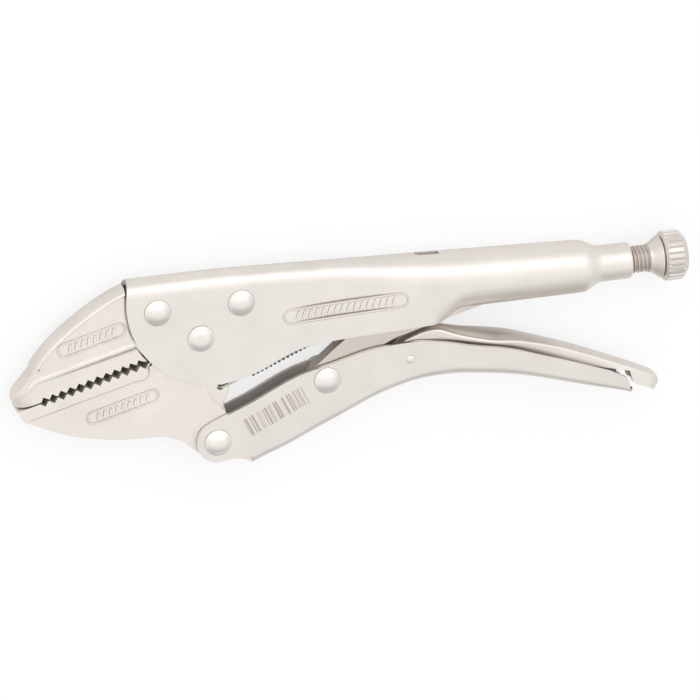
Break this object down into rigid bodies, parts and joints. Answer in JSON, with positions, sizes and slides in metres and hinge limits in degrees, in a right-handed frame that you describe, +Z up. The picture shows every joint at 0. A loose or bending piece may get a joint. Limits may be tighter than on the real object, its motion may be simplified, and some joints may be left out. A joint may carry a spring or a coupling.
{
  "type": "locking pliers",
  "caption": "Locking pliers with toothed straight jaws, a sheet-steel channel handle, a toggle link, a release lever and a ribbed adjusting screw, all nickel plated.",
  "frame": {"origin": "on the jaw pivot's axis, at the flat underside of the jaw pivot rivet, which is the plane that the pliers lie on", "axes": "+X along the adjusting screw from the jaws to its ribbed head, +Y from the moving handle to the fixed handle, +Z up through the thickness, along every pivot"},
  "size_m": [0.248, 0.0724, 0.0192],
  "materials": {
    "nickel_sheet": "satin nickel plate on pressed sheet steel",
    "nickel_forging": "satin nickel plate on a forging",
    "nickel_rivet": "smooth nickel plate",
    "nickel_turned": "satin nickel plate on turned steel",
    "spring_wire": "plated spring wire"
  },
  "bodies": {
    "fixed_side": {"fixed_handle": "nickel_sheet", "upper_jaw": "nickel_forging", "upper_jaw_front_rivet": "nickel_rivet", "upper_jaw_rear_rivet": "nickel_rivet", "jaw_pivot_rivet": "nickel_rivet", "return_spring": "spring_wire"},
    "lower_jaw_side": {"lower_jaw": "nickel_forging"},
    "moving_handle_side": {"moving_handle": "nickel_sheet", "handle_pivot_rivet": "nickel_rivet", "link_rivet": "nickel_rivet", "release_lever_pin": "nickel_rivet"},
    "link_side": {"toggle_link": "nickel_forging"},
    "lever_side": {"release_lever": "nickel_sheet"},
    "screw_travel": {"screw_point": "nickel_turned"},
    "screw": {"adjusting_screw": "nickel_turned"}
  },
  "joints": [
    {"name": "jaw_pivot", "type": "hinge", "parent": "fixed_side", "child": "lower_jaw_side", "pos_m": [0, 0, 0.0096], "axis": [0, 0, 1], "range_deg": [0, 22], "deforming": ["return_spring"]},
    {"name": "handle_pivot", "type": "hinge", "parent": "lower_jaw_side", "child": "moving_handle_side", "pos_m": [0.0044, -0.0396, 0.0096], "axis": [0, 0, 1], "range_deg": [-64, 0]},
    {"name": "link_pivot", "type": "hinge", "parent": "moving_handle_side", "child": "link_side", "pos_m": [0.0448, -0.0214, 0.0096], "axis": [0, 0, 1], "range_deg": [0, 67]},
    {"name": "release_lever_hinge", "type": "hinge", "parent": "moving_handle_side", "child": "lever_side", "pos_m": [0.0753, -0.0173, 0.0096], "axis": [0, 0, 1], "range_deg": [-2, 0]},
    {"name": "screw_slide", "type": "slide", "parent": "fixed_side", "child": "screw_travel", "axis": [1, 0, 0], "range_m": [0, 0.0075]},
    {"name": "screw_turn", "type": "hinge", "parent": "screw_travel", "child": "screw", "pos_m": [0.16, 0.0079, 0.0096], "axis": [1, 0, 0], "range_deg": [0, 1801]}
  ],
  "couplings": [
    {"joint": "handle_pivot", "follows": "jaw_pivot", "ratio": -2.85},
    {"joint": "link_pivot", "follows": "jaw_pivot", "ratio": 3},
    {"joint": "screw_turn", "follows": "screw_slide", "rad_per_m": 4188.8}
  ]
}
